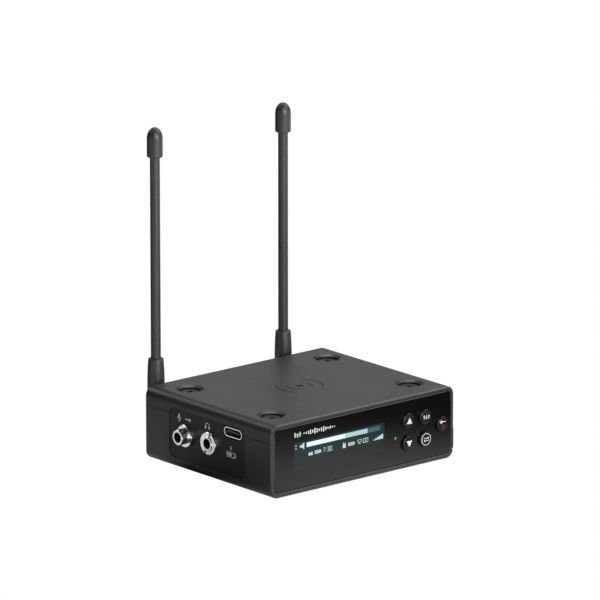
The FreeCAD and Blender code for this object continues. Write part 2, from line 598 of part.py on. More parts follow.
def coupling_nut(x):
    """Coupling nut tightened on the socket, which retains the knuckle."""
    nut = hexagon(8.0, COUPLING_START, COUPLING_END, x, SOCKET_Z)
    nut = nut.cut(bar_y(SOCKET_R, 0, COUPLING_WEB, x, SOCKET_Z))
    return nut.cut(bar_y(NECK_R + NECK_FIT, 0, COUPLING_END + 1, x, SOCKET_Z))


def knuckle(x):
    """Forked knuckle: collar and neck in the coupling nut, two ears for the pivot pin."""
    z = SOCKET_Z
    collar = bar_y(COLLAR_R, COUPLING_WEB - 0.8, COUPLING_WEB - 0.1, x, z)
    neck = bar_y(NECK_R, COUPLING_WEB - 0.8, COUPLING_END + 0.6, x, z)
    base_y = COUPLING_END + 0.2
    block = box(x - FORK_HALF, x + FORK_HALF, base_y, ANTENNA_Y, z - FORK_R, z + FORK_R)
    ends = bar_x(FORK_R, x - FORK_HALF, x + FORK_HALF, ANTENNA_Y, z)
    round_form = fuse(box(x - FORK_HALF, x + FORK_HALF, base_y, ANTENNA_Y, z - 5, z + 5),
                      bar_z(FORK_HALF + 0.05, z - 5, z + 5, x, ANTENNA_Y))
    fork = fuse(block, ends).common(round_form)
    gap = box(x - FORK_GAP, x + FORK_GAP, ANTENNA_Y - TONGUE_R - 0.2, ANTENNA_Y + 5, z - 5, z + 5)
    body = fuse(collar, neck, fork.cut(gap))
    return body.cut(bar_x(TILT_PIN_R, x - 5, x + 5, ANTENNA_Y, z))


def pivot_pin(x):
    """Pin through both ears, just below their faces."""
    pin = bar_x(TILT_PIN_R, x - TILT_PIN_HALF, x + TILT_PIN_HALF, ANTENNA_Y, SOCKET_Z)
    return pin.makeChamfer(0.15, [e for e in pin.Edges if e.BoundBox.XLength < 1e-6])


def boot(x):
    """Soft boot of the antenna: flat tongue, straight length, slight taper, rounded lip."""
    y = ANTENNA_Y
    taper_z = BOOT_TOP - BOOT_TAPER
    lip_z = BOOT_TOP - BOOT_ROUND
    drop = BOOT_R - BOOT_TOP_R
    rise = lip_z - taper_z
    curve = (rise * rise + drop * drop) / (2 * drop)
    half_angle = math.asin(rise / curve) / 2
    mid = V(x + BOOT_R - curve * (1 - math.cos(half_angle)), y, taper_z + curve * math.sin(half_angle))
    a, b = V(x + BOOT_R, y, taper_z), V(x + BOOT_TOP_R, y, lip_z)
    lip = V(x + BOOT_TOP_R - BOOT_ROUND, y, BOOT_TOP)
    lip_mid = V(x + BOOT_TOP_R - BOOT_ROUND * 0.293, y, lip_z + BOOT_ROUND * 0.707)
    profile = lines([V(x, y, BOOT_TOP), V(x, y, BOOT_BOTTOM), V(x + BOOT_R - 0.3, y, BOOT_BOTTOM),
                     V(x + BOOT_R, y, BOOT_BOTTOM + 0.3), a])
    profile += [Part.Arc(a, mid, b).toShape(), Part.Arc(b, lip_mid, lip).toShape()]
    profile += lines([lip, V(x, y, BOOT_TOP)])
    body = turned(profile, V(x, y, 0), AXIS_Z)
    neck = box(x - TONGUE_HALF, x + TONGUE_HALF, y - TONGUE_R, y + TONGUE_R, SOCKET_Z, BOOT_BOTTOM + 1)
    eye = bar_x(TONGUE_R, x - TONGUE_HALF, x + TONGUE_HALF, y, SOCKET_Z)
    body = fuse(body, neck, eye).cut(bar_x(TILT_PIN_R + TILT_FIT, x - 3, x + 3, y, SOCKET_Z))
    return body.cut(bar_z(ROD_R, BOOT_BORE_Z, BOOT_TOP + 1, x, y))


def rod(x):
    """Straight whip between boot and tip."""
    return bar_z(ROD_R, BOOT_BORE_Z, ROD_TOP, x, ANTENNA_Y)


def tip(x):
    """Thicker end cap with a half-ellipsoid dome."""
    y = ANTENNA_Y
    dome_z = TIP_TOP - TIP_DOME
    ellipse = Part.Ellipse(V(x, y, dome_z + TIP_DOME), V(x + TIP_R, y, dome_z), V(x, y, dome_z))
    quarter = ellipse.toShape().common(box(x, x + 5, y - 1, y + 1, dome_z, TIP_TOP + 1))
    profile = list(quarter.Edges)
    profile += lines([V(x, y, TIP_TOP), V(x, y, TIP_BOTTOM), V(x + TIP_R - TIP_BREAK, y, TIP_BOTTOM),
                      V(x + TIP_R, y, TIP_BOTTOM + TIP_BREAK), V(x + TIP_R, y, dome_z)])
    body = turned(profile, V(x, y, 0), AXIS_Z)
    return body.cut(bar_z(ROD_R, TIP_BOTTOM - 1, ROD_TOP, x, y))


def antenna_lead(x, turn_x):
    """Coaxial lead from a socket's ferrule, then up to the main board."""
    z, end_z = SOCKET_Z, MAIN_TOP - BOARD_THICK
    inward = -math.copysign(1, x)
    start = V(x + inward * FERRULE_LENGTH, LEAD_Y, z)
    a, r = V(turn_x, LEAD_Y, z), LEAD_TURN
    side = r * math.sin(math.radians(45))
    mid = V(turn_x + inward * side, LEAD_Y, z + r - side)
    b, end = V(turn_x + inward * r, LEAD_Y, z + r), V(turn_x + inward * r, LEAD_Y, end_z)
    path = Part.Wire([Part.LineSegment(start, a).toShape(), Part.Arc(a, mid, b).toShape(),
                      Part.LineSegment(b, end).toShape()])
    ring = Part.Wire(Part.makeCircle(LEAD_R, start, AXIS_X))
    return path.makePipeShell([ring], True, False)


# ---------------------------------------------------------------- all nodes
def main():
    os.makedirs("parts", exist_ok=True)
    save("lower_housing", lower_housing())
    save("top_cover", top_cover())
    save("cover_screws", *cover_screws())
    save("stacking_discs", *stacking_discs())
    save("rubber_feet", *rubber_feet())

    save("front_lens", front_lens())
    save("display_panel", display_panel())
    save("display_frame", display_frame())
    save("front_board", front_board())
    for name, (x, z) in BUTTONS.items():
        save(name, button_cap(x, z))
    save("tact_switches", *tact_switches())
    save("light_pipes", *light_pipes())
    save("status_leds", *status_leds())

    mic_face = PANEL_FACE_X - MIC_RING_THICK - MIC_REACH
    phones_face = PANEL_FACE_X - PHONES_NUT_THICK - PHONES_REACH
    save("connector_panel", connector_panel())
    save("mic_jack_body", jack_body(MIC_Y))
    save("mic_jack_barrel", jack_barrel(MIC_Y, MIC_BARREL_R, mic_face))
    save("mic_jack_ring", jack_ring(MIC_Y, MIC_RING_R, MIC_BARREL_R, MIC_RING_THICK))
    save("phones_jack_body", jack_body(PHONES_Y))
    save("phones_jack_barrel", jack_barrel(PHONES_Y, PHONES_BARREL_R, phones_face))
    save("phones_jack_nut", phones_nut())
    save("usb_shell", usb_shell())
    save("usb_tongue", usb_tongue())

    save("main_board", main_board())
    save("board_screws", *board_screws())
    save("board_connector", board_connector())
    save("rf_shield", rf_shield())

    save("battery_tray", battery_tray())
    save("battery_cells", *battery_cells())
    save("battery_contacts", *battery_contacts())
    save("battery_door", battery_door())
    save("door_hinge_pin", door_hinge_pin())

    save("antenna_leads", antenna_lead(-ANTENNA_X, -13.0), antenna_lead(ANTENNA_X, 0.0))
    for side, x in (("left", -ANTENNA_X), ("right", ANTENNA_X)):
        save(side + "_antenna_socket", antenna_socket(x))
        save(side + "_socket_nut", socket_nut(x))
        save(side + "_coupling_nut", coupling_nut(x))
        save(side + "_knuckle", knuckle(x))
        save(side + "_pivot_pin", pivot_pin(x))
        save(side + "_boot", boot(x))
        save(side + "_rod", rod(x))
        save(side + "_tip", tip(x))


main()
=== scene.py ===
"""Looks of the compact wireless receiver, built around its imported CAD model.

Sizes are written in millimetres and turned into metres by MM. Flat symbols are drawn in their own
plane: on the front, across is +X and up is +Z; on the left side, across is -Y and up is +Z.
"""
import math

import bmesh
import bpy
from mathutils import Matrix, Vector


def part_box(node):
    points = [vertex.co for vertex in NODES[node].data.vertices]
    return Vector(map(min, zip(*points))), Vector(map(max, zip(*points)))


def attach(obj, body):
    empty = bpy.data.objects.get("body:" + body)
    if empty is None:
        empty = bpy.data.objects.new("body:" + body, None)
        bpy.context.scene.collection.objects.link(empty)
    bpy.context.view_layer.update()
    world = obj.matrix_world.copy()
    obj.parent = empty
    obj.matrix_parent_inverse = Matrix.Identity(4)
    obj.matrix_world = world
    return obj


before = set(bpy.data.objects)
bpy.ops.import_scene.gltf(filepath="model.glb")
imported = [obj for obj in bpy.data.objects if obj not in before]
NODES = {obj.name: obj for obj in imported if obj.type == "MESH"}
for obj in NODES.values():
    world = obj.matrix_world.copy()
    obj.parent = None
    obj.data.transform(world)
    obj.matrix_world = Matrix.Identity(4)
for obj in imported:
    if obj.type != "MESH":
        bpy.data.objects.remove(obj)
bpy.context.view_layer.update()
MM = 0.001

# ---- places read from the frame ----
LENS_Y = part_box("front_lens")[0].y / MM
CASE_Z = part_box("lower_housing")[0].z / MM    # underside of the case above the floor
PANEL_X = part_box("connector_panel")[0].x / MM
COVER_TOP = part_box("top_cover")[1].z / MM
DISC_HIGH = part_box("stacking_discs")[1] / MM

# ---- sizes in millimetres ----
DISC_R = 3.4                           # radius of a stacking disc
DISC_SHADE_LINE = 3.48, 0.15                  # middle and half width of the painted shade line round a disc
DISC_DEPTH = 0.7                       # the painted shade line shows only below this depth under the top
MARK_R, MARK_DEPTH = 9.5, 0.05         # extent of the engraved mark, and the depth below which its floor is given painted shade
DOME_DROP, DOME_R = 0.15, 2.075        # how far a cap's face falls from its middle to this radius
INK = 0.02                             # thickness of printed symbols
FILM = 0.01                            # thickness of the display area in front of the window
GLOW_FROM, GLOW_TO = 9.5, 16.5         # heights between which the display's glow grows
LAMP_SPLIT = 9.5, 9.7                  # height between the dark lamp and the lit one


def middle(node):
    """Centre of a CAD node's box, in millimetres."""
    low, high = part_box(node)
    return (low + high) / 2 / MM


# ---------------------------------------------------------------- shader helpers
class Shader:
    """Small helper that builds one Principled material out of nodes."""

    def __init__(self, name):
        self.material = bpy.data.materials.new(name)
        self.material.use_nodes = True
        self.nodes = self.material.node_tree.nodes
        self.links = self.material.node_tree.links
        self.bsdf = self.nodes["Principled BSDF"]
        self.coords = self.node("ShaderNodeTexCoord").outputs["Object"]

    def node(self, kind, **values):
        made = self.nodes.new(kind)
        for key, value in values.items():
            setattr(made, key, value)
        return made

    def link(self, source, target):
        self.links.new(source, target)

    def split(self):
        """The three coordinates of a surface point, in metres."""
        split = self.node("ShaderNodeSeparateXYZ")
        self.link(self.coords, split.inputs["Vector"])
        return split.outputs

    def math(self, operation, *values):
        """Result of a Math node whose inputs are sockets or numbers."""
        made = self.node("ShaderNodeMath", operation=operation)
        for socket, value in zip(made.inputs, values):
            self.feed(socket, value)
        return made.outputs["Value"]

    def vector(self, operation, result, *values):
        """Result of a Vector Math node whose inputs are sockets or vectors."""
        made = self.node("ShaderNodeVectorMath", operation=operation)
        for socket, value in zip(made.inputs, values):
            self.feed(socket, value)
        return made.outputs[result]

    def rise(self, value, start, end):
        """Value that goes from 0 to 1 between two levels, in millimetres."""
        made = self.node("ShaderNodeMapRange")
        made.inputs["From Min"].default_value = start * MM
        made.inputs["From Max"].default_value = end * MM
        self.link(value, made.inputs["Value"])
        return made.outputs["Result"]

    def feed(self, socket, value):
        """Link a socket, or set a plain value."""
        if hasattr(value, "links"):
            self.link(value, socket)
        else:
            socket.default_value = value

    def set(self, **values):
        """Set unlinked sockets of the surface by name, with _ for a space."""
        for key, value in values.items():
            self.bsdf.inputs[key.replace("_", " ")].default_value = value

    def noise(self, size_mm, detail=3.0, roughness=0.55, stretch=(1, 1, 1)):
        """Noise whose features are about size_mm across."""
        scale = self.node("ShaderNodeMapping")
        scale.inputs["Scale"].default_value = [s / (size_mm * MM) for s in stretch]
        self.link(self.coords, scale.inputs["Vector"])
        noise = self.node("ShaderNodeTexNoise")
        noise.inputs["Scale"].default_value = 1.0
        noise.inputs["Detail"].default_value = detail
        noise.inputs["Roughness"].default_value = roughness
        self.link(scale.outputs["Vector"], noise.inputs["Vector"])
        return noise.outputs["Fac"]

    def ramp(self, source, low, high, low_at=0.35, high_at=0.65):
        """Map a value to the range between two numbers or two colours."""
        ramp = self.node("ShaderNodeValToRGB")
        first, last = ramp.color_ramp.elements
        first.position, last.position = low_at, high_at
        first.color = low if isinstance(low, tuple) else (low, low, low, 1)
        last.color = high if isinstance(high, tuple) else (high, high, high, 1)
        self.link(source, ramp.inputs["Fac"])
        return ramp.outputs["Color"]

    def mix(self, factor, a, b):
        """Mix two colours by a factor socket."""
        mix = self.node("ShaderNodeMix", data_type="RGBA")
        self.link(factor, mix.inputs[0])
        self.feed(mix.inputs[6], a)
        self.feed(mix.inputs[7], b)
        return mix.outputs[2]

    def bump(self, height, distance_mm, strength=1.0):
        """Bump on the surface, chained after any bump already there."""
        bump = self.node("ShaderNodeBump")
        bump.inputs["Strength"].default_value = strength
        bump.inputs["Distance"].default_value = distance_mm * MM
        self.link(height, bump.inputs["Height"])
        before = self.bsdf.inputs["Normal"].links
        if before:
            self.link(before[0].from_socket, bump.inputs["Normal"])
        self.link(bump.outputs["Normal"], self.bsdf.inputs["Normal"])

    def colour(self, source):
        self.link(source, self.bsdf.inputs["Base Color"])

    def rough(self, source):
        self.link(source, self.bsdf.inputs["Roughness"])


def grey(value):
    return (value, value, value, 1.0)


def tint(r, g, b):
    return (r, g, b, 1.0)


# ---------------------------------------------------------------- materials
def case_coat():
    """Fine-grained black coating of the die-cast case, with painted shade: near black and less glossy in
    the floor of the engraved mark and in a ring round each disc.
    """
    s = Shader("case_coat")
    specks = s.noise(0.22, detail=3.0)
    coat = s.mix(s.ramp(specks, 0.0, 1.0), grey(0.016), grey(0.024))
    height = s.split()["Z"]
    flat = s.vector("MULTIPLY", "Vector", s.coords, (1, 1, 0))
    near = s.math("LESS_THAN", s.vector("LENGTH", "Value", flat), MARK_R * MM)
    sunk = s.math("LESS_THAN", height, (COVER_TOP - MARK_DEPTH) * MM)
    mark = s.math("MULTIPLY", near, sunk)
    folded = s.vector("ABSOLUTE", "Vector", flat)
    disc_at = ((DISC_HIGH.x - DISC_R) * MM, (DISC_HIGH.y - DISC_R) * MM, 0)
    from_disc = s.vector("DISTANCE", "Value", folded, disc_at)
    disc_shade_ring = s.math("COMPARE", from_disc, *(size * MM for size in DISC_SHADE_LINE))
    deep = s.math("LESS_THAN", height, (COVER_TOP - DISC_DEPTH) * MM)
    # Painted shade: the floor of the engraved mark and a ring round each disc's foot get a near-black
    # colour and a low specular level, where shade falls in these recesses.
    painted_groove_shade = s.math("MAXIMUM", mark, s.math("MULTIPLY", disc_shade_ring, deep))
    s.colour(s.mix(painted_groove_shade, coat, grey(0.004)))
    s.link(s.mix(painted_groove_shade, grey(0.36), grey(0.08)), s.bsdf.inputs["Specular IOR Level"])
    s.rough(s.ramp(s.noise(14.0, detail=1.0), 0.39, 0.42))
    s.bump(s.noise(0.3, detail=2.0), 0.007, 0.5)
    s.set(IOR=1.5)
    return s.material


def panel_coat():
    """Smooth matt plastic of the connector field."""
    s = Shader("panel_coat")
    fine = s.noise(0.25, detail=2.0)
    broad = s.noise(5.0)
    s.colour(s.mix(s.ramp(broad, 0.0, 1.0), grey(0.008), grey(0.011)))
    s.rough(s.ramp(broad, 0.42, 0.50))
    s.bump(fine, 0.006, 0.4)
    s.set(IOR=1.47, Specular_IOR_Level=0.3)
    return s.material


def window_gloss():
    """Glossy black front window with the faintest orange peel and wipe marks."""
    s = Shader("window_gloss")
    wipe = s.noise(3.0, detail=4.0, stretch=(0.25, 1, 1))
    s.colour(s.mix(s.ramp(wipe, 0.0, 1.0), grey(0.0025), grey(0.0035)))
    s.rough(s.ramp(wipe, 0.045, 0.075))
    s.bump(s.noise(9.0, detail=1.0), 0.004, 0.3)
    s.set(IOR=1.5)
    return s.material


def display_glow():
    """Display area: window gloss over a teal glow that fades downwards."""
    s = Shader("display_glow")
    rise = s.rise(s.split()["Z"], CASE_Z + GLOW_FROM, CASE_Z + GLOW_TO)
    level = s.math("MULTIPLY", rise, s.ramp(s.noise(2.0), 0.9, 1.0))
    glow = s.mix(level, tint(0.0025, 0.003, 0.003), tint(0.006, 0.022, 0.026))
    s.colour(s.mix(level, grey(0.004), tint(0.004, 0.008, 0.009)))
    s.link(glow, s.bsdf.inputs["Emission Color"])
    s.set(Emission_Strength=1.0, Roughness=0.06, IOR=1.5)
    return s.material


def lit(name, colour, strength, spread=0.08):
    """Lit display segment or lamp: emission with a slight unevenness under gloss."""
    s = Shader(name)
    uneven = s.noise(0.8, detail=2.0)
    dim = tuple(c * (1 - spread) for c in colour[:3]) + (1.0,)
    s.link(s.mix(s.ramp(uneven, 0.0, 1.0), dim, colour), s.bsdf.inputs["Emission Color"])
    s.colour(s.mix(s.ramp(uneven, 0.0, 1.0), grey(0.02), grey(0.03)))
    s.set(Emission_Strength=strength, Roughness=0.12)
    return s.material


def lamps():
    """Clear light pipes: the upper one is lit green and the lower one is dark."""
    s = Shader("lamp_clear")
    upper = s.rise(s.split()["Z"], *(CASE_Z + height for height in LAMP_SPLIT))
    level = s.math("MULTIPLY", upper, s.ramp(s.noise(0.6, detail=1.0), 0.85, 1.0))
    s.link(level, s.bsdf.inputs["Emission Strength"])
    s.set(Emission_Color=tint(0.01, 0.22, 0.05), Roughness=0.15)
    s.colour(s.mix(upper, tint(0.012, 0.014, 0.012), tint(0.02, 0.1, 0.04)))
    return s.material


def ink(name, colour, worn=0.82):
    """Printed symbol, very slightly uneven."""
    s = Shader(name)
    uneven = s.noise(0.3, detail=3.0)
    thin = tuple(c * worn for c in colour[:3]) + (1.0,)
    s.colour(s.mix(s.ramp(uneven, 0.0, 1.0, 0.3, 0.5), thin, colour))
    s.rough(s.ramp(uneven, 0.40, 0.52))
    return s.material


def cap_satin():
    """Satin black key caps with fine mould grain."""
    s = Shader("cap_satin")
    broad = s.noise(2.0)
    s.colour(s.mix(s.ramp(broad, 0.0, 1.0), grey(0.005), grey(0.007)))
    s.rough(s.ramp(broad, 0.26, 0.32))
    s.bump(s.noise(0.12, detail=2.0), 0.003, 0.4)
    s.set(Specular_IOR_Level=0.25)
    return s.material


def soft_rubber():
    """Soft black sleeve of the antennas: satin, with faint lengthwise unevenness."""
    s = Shader("soft_rubber")
    along = s.noise(1.2, detail=3.0, stretch=(1, 1, 0.08))
    s.colour(s.mix(s.ramp(along, 0.0, 1.0), grey(0.020), grey(0.026)))
    s.rough(s.ramp(along, 0.38, 0.44))
    s.set(Specular_IOR_Level=0.4)
    s.bump(s.noise(0.18, detail=2.0), 0.006, 0.5)
    return s.material


def foot_rubber():
    """Duller rubber of the feet."""
    s = Shader("foot_rubber")
    dust = s.noise(0.7, detail=5.0)
    s.colour(s.mix(s.ramp(dust, 0.0, 1.0), grey(0.018), grey(0.035)))
    s.rough(s.ramp(dust, 0.65, 0.8))
    s.bump(dust, 0.02, 0.5)
    return s.material


def bright_nickel():
    """Turned and plated brass: faint turning marks along the X axis."""
    s = Shader("bright_nickel")
    marks = s.noise(0.35, detail=2.0, stretch=(1, 0.05, 0.05))
    s.colour(s.mix(s.ramp(marks, 0.0, 1.0), tint(0.80, 0.79, 0.77), tint(0.93, 0.92, 0.90)))
    s.rough(s.ramp(marks, 0.14, 0.22))
    s.set(Metallic=1.0)
    return s.material


def plain_steel():
    """Pressed steel with rolled grain."""
    s = Shader("plain_steel")
    grain = s.noise(0.3, detail=3.0, stretch=(0.1, 1, 1))
    s.colour(s.mix(s.ramp(grain, 0.0, 1.0), grey(0.42), grey(0.55)))
    s.rough(s.ramp(grain, 0.28, 0.40))
    s.set(Metallic=1.0)
    return s.material


def black_oxide():
    """Blackened metal of screws, nuts and knuckles, lighter where it is handled."""
    s = Shader("black_oxide")
    worn = s.noise(0.9, detail=4.0)
    s.colour(s.mix(s.ramp(worn, 0.0, 1.0, 0.45, 0.75), grey(0.035), grey(0.08)))
    s.rough(s.ramp(worn, 0.32, 0.45))
    s.bump(s.noise(0.15), 0.004, 0.5)
    s.set(Metallic=0.8)
    return s.material


def moulded(name, dark, light):
    """Plain moulded plastic inside the case."""
    s = Shader(name)
    flow = s.noise(3.0)
    s.colour(s.mix(s.ramp(flow, 0.0, 1.0), dark, light))
    s.rough(s.ramp(flow, 0.45, 0.6))
    s.bump(s.noise(0.3), 0.01, 0.4)
    return s.material


def cell_sleeve():
    """Printed sleeve of a round cell: a dark body with a lighter band at one end."""
    s = Shader("cell_sleeve")
    band = s.ramp(s.split()["Y"], 0.0, 1.0, 0.0139, 0.0140)
    s.colour(s.mix(band, tint(0.03, 0.035, 0.045), tint(0.55, 0.30, 0.06)))
    s.rough(s.ramp(s.noise(1.0), 0.25, 0.35))
    s.set(Metallic=0.3)
    return s.material


def paint(node, material):
    """Give one CAD node its material."""
    slots = NODES[node].data.materials
    slots.clear()
    slots.append(material)


# ---------------------------------------------------------------- flat drawing
class Sheet:
    """Collects flat outlines, in millimetres, and turns them into one thin solid mesh."""

    def __init__(self):
        self.outlines = []

    def polygon(self, points):
        self.outlines.append([Vector(p) for p in points])
        return self

    def box(self, x0, x1, z0, z1):
        return self.polygon([(x0, z0), (x1, z0), (x1, z1), (x0, z1)])

    def ring(self, x, z, outer, inner, start=0, end=360, steps=48):
        """Ring or arc, drawn as short quads that share their edges."""
        span = end - start
        count = max(4, int(steps * abs(span) / 360))
        angles = [math.radians(start + span * i / count) for i in range(count + 1)]
        for a, b in zip(angles, angles[1:]):
            self.polygon([(x + inner * math.cos(a), z + inner * math.sin(a)),
                          (x + outer * math.cos(a), z + outer * math.sin(a)),
                          (x + outer * math.cos(b), z + outer * math.sin(b)),
                          (x + inner * math.cos(b), z + inner * math.sin(b))])
        return self

    def disc(self, x, z, radius, steps=32):
        angles = [2 * math.pi * i / steps for i in range(steps)]
        return self.polygon([(x + radius * math.cos(a), z + radius * math.sin(a)) for a in angles])

    def rounded(self, x0, x1, z0, z1, radius, steps=5):
        """Rectangle with round corners."""
        points = []
        for cx, cz, turn in ((x1 - radius, z0 + radius, 270), (x1 - radius, z1 - radius, 0),
                             (x0 + radius, z1 - radius, 90), (x0 + radius, z0 + radius, 180)):
            for i in range(steps + 1):
                a = math.radians(turn + 90 * i / steps)
                points.append((cx + radius * math.cos(a), cz + radius * math.sin(a)))
        return self.polygon(points)

    def frame(self, x0, x1, z0, z1, line):
        """Outline of a rectangle."""
        self.box(x0, x1, z0, z0 + line).box(x0, x1, z1 - line, z1)
        return self.box(x0, x0 + line, z0 + line, z1 - line).box(x1 - line, x1, z0 + line, z1 - line)

    def stroke(self, points, width):
        """Line of even width with mitred corners."""
        points = [Vector(p) for p in points]
        sides = []
        for i, p in enumerate(points):
            before = (p - points[i - 1]).normalized() if i else None
            after = (points[i + 1] - p).normalized() if i + 1 < len(points) else None
            run = ((before or after) + (after or before)).normalized()
            normal = Vector((-run.y, run.x))
            lean = normal.dot(Vector((-(after or before).y, (after or before).x)))
            half = width / 2 / max(lean, 0.4)
            sides.append((p + normal * half, p - normal * half))
        for (a, b), (c, d) in zip(sides, sides[1:]):
            self.polygon([b, d, c, a])
        return self

    def solid(self, name, place, thick=INK, cuts=0):
        """One closed thin mesh. place(x, z, out) gives the point in the frame."""
        mesh = bpy.data.meshes.new(name)
        bm = bmesh.new()
        for outline in self.outlines:
            front = [bm.verts.new((p.x, p.y, thick)) for p in outline]
            back = [bm.verts.new((p.x, p.y, 0.0)) for p in outline]
            count = len(outline)
            bm.faces.new(front)
            bm.faces.new(back[::-1])
            for i in range(count):
                j = (i + 1) % count
                bm.faces.new((front[j], front[i], back[i], back[j]))
        if cuts:
            bmesh.ops.subdivide_edges(bm, edges=bm.edges[:], cuts=cuts, use_grid_fill=True)
        for vert in bm.verts:
            vert.co = place(vert.co.x, vert.co.y, vert.co.z) * MM
        bmesh.ops.recalc_face_normals(bm, faces=bm.faces[:])
        bm.to_mesh(mesh)
        bm.free()
        made = bpy.data.objects.new(name, mesh)
        bpy.context.scene.collection.objects.link(made)
        return made


def on_front(lift=0.0):
    """Placing function for the front window: z is counted from the underside of the case."""
    return lambda x, z, out: Vector((x, LENS_Y - lift - out, CASE_Z + z))


def on_panel(x, z, out):
    """Placing function for the connector field, where across is -Y."""
    return Vector((PANEL_X - out, -x, CASE_Z + z))


def on_cap(node):
    """Placing function for a cap's domed face, counted from its middle."""
    centre = middle(node)
    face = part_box(node)[0].y / MM

    def place(x, z, out):
        drop = DOME_DROP * (x * x + z * z) / DOME_R ** 2
        return Vector((centre.x + x, face + drop - out, centre.z + z))
    return place


def finish_piece(piece, body, material):
    piece.data.materials.append(material)
    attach(piece, body)
    return piece


# Strokes of the display's numerals in a cell 1 wide and 2 high.
NUMERALS = {
    "0": [[(0, 0), (1, 0), (1, 2), (0, 2), (0, 0)]],
    "1": [[(0.35, 1.6), (0.75, 2), (0.75, 0)]],
    "2": [[(0, 2), (1, 2), (1, 1.05), (0, 0.85), (0, 0), (1, 0)]],
    "3": [[(0, 2), (1, 2), (1, 0), (0, 0)], [(0.25, 1), (1, 1)]],
    "7": [[(0, 2), (1, 2), (0.35, 0)]],
}


def numerals(sheet, text, x, z, width, height, gap, line):
    """Write digits and colons as strokes, from x to the right."""
    for char in text:
        if char == ":":
            for level in (0.28, 0.72):
                sheet.box(x, x + line, z + height * level - line / 2, z + height * level + line / 2)
            x += line + gap
            continue
        for path in NUMERALS[char]:
            sheet.stroke([(x + px * width, z + pz * height / 2) for px, pz in path], line)
        x += width + gap


# ---------------------------------------------------------------- display
def display_area():
    """The module's face, seen through the window."""
    sheet = Sheet().rounded(-29.35, 8.95, 7.6, 17.1, 0.2)
    return sheet.solid("display_area", on_front(), FILM)


def level_bar():
    """Bright part, paler part and unlit rest of the level bar."""
    z0, z1 = 14.95, 16.45
    bright = Sheet().box(-24.1, -7.85, z0, z1)
    pale = Sheet().box(-7.85, 1.75, z0, z1)
    rest = Sheet().box(1.75, 6.8, z0, z1).box(6.95, 7.25, z0 + 0.1, z1)
    return bright, pale, rest


def battery_icon(sheet, x, z, bars):
    """Lying battery: outline, end pole and charge bars."""
    width, height, line = 2.6, 1.15, 0.15
    sheet.frame(x, x + width, z, z + height, line)
    sheet.box(x + width, x + width + 0.2, z + 0.32, z + height - 0.32)
    step = (width - 2 * line) / bars
    for i in range(bars):
        x0 = x + line + step * i + 0.1
        sheet.box(x0, x0 + step - 0.18, z + line + 0.1, z + height - line - 0.1)


def display_symbols():
    """White symbols of the display: lamps, speaker, packs, times and signal steps."""
    sheet = Sheet()
    for z in (15.15, 16.05):
        sheet.disc(-28.6, z, 0.24, 12)
    sheet.box(-26.9, -26.25, 15.2, 16.0)
    sheet.polygon([(-26.25, 15.2), (-25.1, 14.45), (-25.1, 16.75), (-26.25, 16.0)])
    sheet.rounded(-23.3, -21.5, 11.9, 12.7, 0.2)
    sheet.box(-23.1, -22.65, 12.7, 13.1).box(-22.1, -21.7, 12.7, 13.0)
    battery_icon(sheet, -20.7, 12.0, 3)
    numerals(sheet, "7:30", -17.1, 11.95, 0.8, 1.4, 0.36, 0.17)
    sheet.rounded(-8.8, -7.5, 11.7, 13.1, 0.25)
    sheet.box(-8.65, -8.4, 13.1, 13.6).box(-7.9, -7.65, 13.1, 13.45)
    battery_icon(sheet, -6.5, 12.0, 3)
    numerals(sheet, "12:00", -2.9, 11.95, 0.8, 1.4, 0.36, 0.17)
    for i in range(5):
        sheet.box(4.2 + i * 0.86, 4.95 + i * 0.86, 11.9, 12.15 + 0.33 * i)
    return sheet


# ---------------------------------------------------------------- printed symbols
def maker_field():
    """Generic mark above the display: a mast with waves and a short sound wave."""
    sheet = Sheet()
    x, z = -27.9, 19.75
    sheet.disc(x, z, 0.3, 16)
    sheet.stroke([(x, z), (x, z - 1.05)], 0.28)
    for radius in (0.75, 1.25):
        for start in (-40, 140):
            sheet.ring(x, z, radius + 0.12, radius - 0.12, start, start + 80)
    heights = [0.35, 0.6, 1.0, 1.5, 1.0, 1.9, 1.4, 0.8, 1.2, 1.7, 1.1, 0.6, 0.9, 0.5, 0.35]
    for i, height in enumerate(heights):
        left = -25.4 + i * 0.92
        sheet.box(left, left + 0.42, z - height / 2, z + height / 2)
    return sheet


def headphones(sheet, x, z):
    """Headband with two ear cups."""
    sheet.ring(x, z, 1.12, 0.88, 0, 180)
    for side in (-1, 1):
        cx = x + side * 0.92
        sheet.rounded(cx - 0.34, cx + 0.34, z - 1.0, z + 0.15, 0.2)


def microphone(sheet, x, z):
    """Capsule in a holder on a foot."""
    sheet.rounded(x - 0.42, x + 0.42, z - 0.25, z + 1.15, 0.41)
    sheet.ring(x, z + 0.1, 0.92, 0.70, 180, 360)
    sheet.box(x - 0.11, x + 0.11, z - 1.2, z - 0.75)
    sheet.box(x - 0.5, x + 0.5, z - 1.35, z - 1.13)


def arrow(sheet, x, z, length, size, line):
    """Arrow pointing across, its tip at x + length."""
    sheet.stroke([(x, z), (x + length - size, z)], line)
    sheet.polygon([(x + length - size, z - size * 0.75), (x + length, z),
                   (x + length - size, z + size * 0.75)])


def bolt(sheet, x, z, size):
    """Lightning flash."""
    sheet.polygon([(x + 0.25 * size, z + size), (x - 0.5 * size, z - 0.1 * size), (x, z - 0.1 * size)])
    sheet.polygon([(x - 0.25 * size, z - size), (x + 0.5 * size, z + 0.1 * size), (x, z + 0.1 * size)])


def panel_symbols():
    """White symbols of the connector field, across counted along -Y."""
    sheet = Sheet()
    microphone(sheet, -14.6, 17.7)
    arrow(sheet, -11.6, 17.7, 3.0, 0.95, 0.34)
    headphones(sheet, -0.3, 17.7)
    bolt(sheet, 11.6, 12.9, 1.0)
    width, height, line = 4.2, 1.7, 0.26
    x, z = 11.6 - width / 2, 9.8
    sheet.frame(x, x + width, z, z + height, line)
    sheet.box(x + width, x + width + 0.35, z + 0.5, z + height - 0.5)
    sheet.box(x + 0.55, x + 2.5, z + 0.5, z + height - 0.5)
    return sheet


